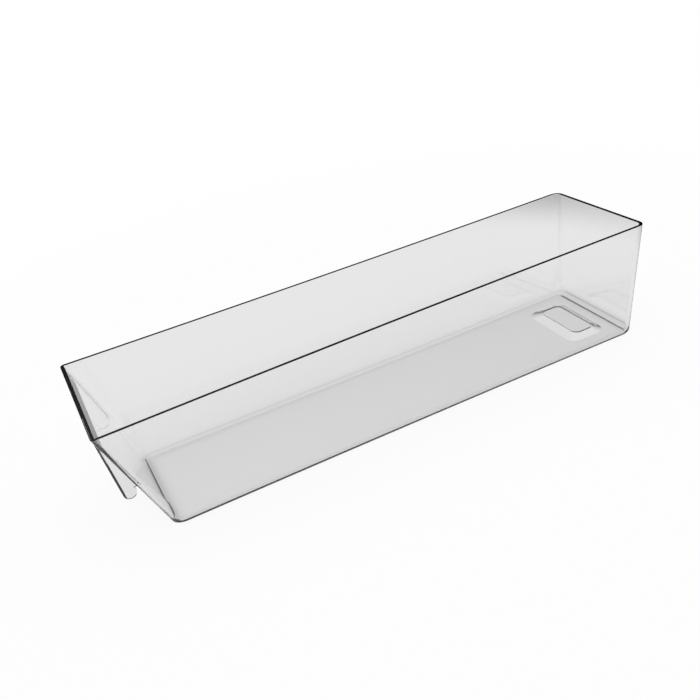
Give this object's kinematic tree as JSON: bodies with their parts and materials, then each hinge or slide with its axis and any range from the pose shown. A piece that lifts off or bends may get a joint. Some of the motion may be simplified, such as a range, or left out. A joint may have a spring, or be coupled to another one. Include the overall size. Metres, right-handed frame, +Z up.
{
  "type": "refrigerator meat tray",
  "caption": "Long, narrow, open clear plastic tray with a slanted front wall, a hanging finger pull and a low raised pad on the floor near the rear.",
  "frame": {"origin": "centre of the tray's footprint, on the surface that it stands on", "axes": "+Z up; -Y is the front, with the finger pull; +X is the right side seen from the front"},
  "size_m": [0.102, 0.4, 0.088],
  "materials": {
    "clear_plastic": "clear, faint neutral grey tint, polished"
  },
  "bodies": {
    "root": {"floor_panel": "clear_plastic", "left_side_wall": "clear_plastic", "right_side_wall": "clear_plastic", "front_wall": "clear_plastic", "rear_wall": "clear_plastic", "pull_flap": "clear_plastic", "pull_left_end": "clear_plastic", "pull_right_end": "clear_plastic", "rear_floor_pad": "clear_plastic"}
  },
  "joints": []
}
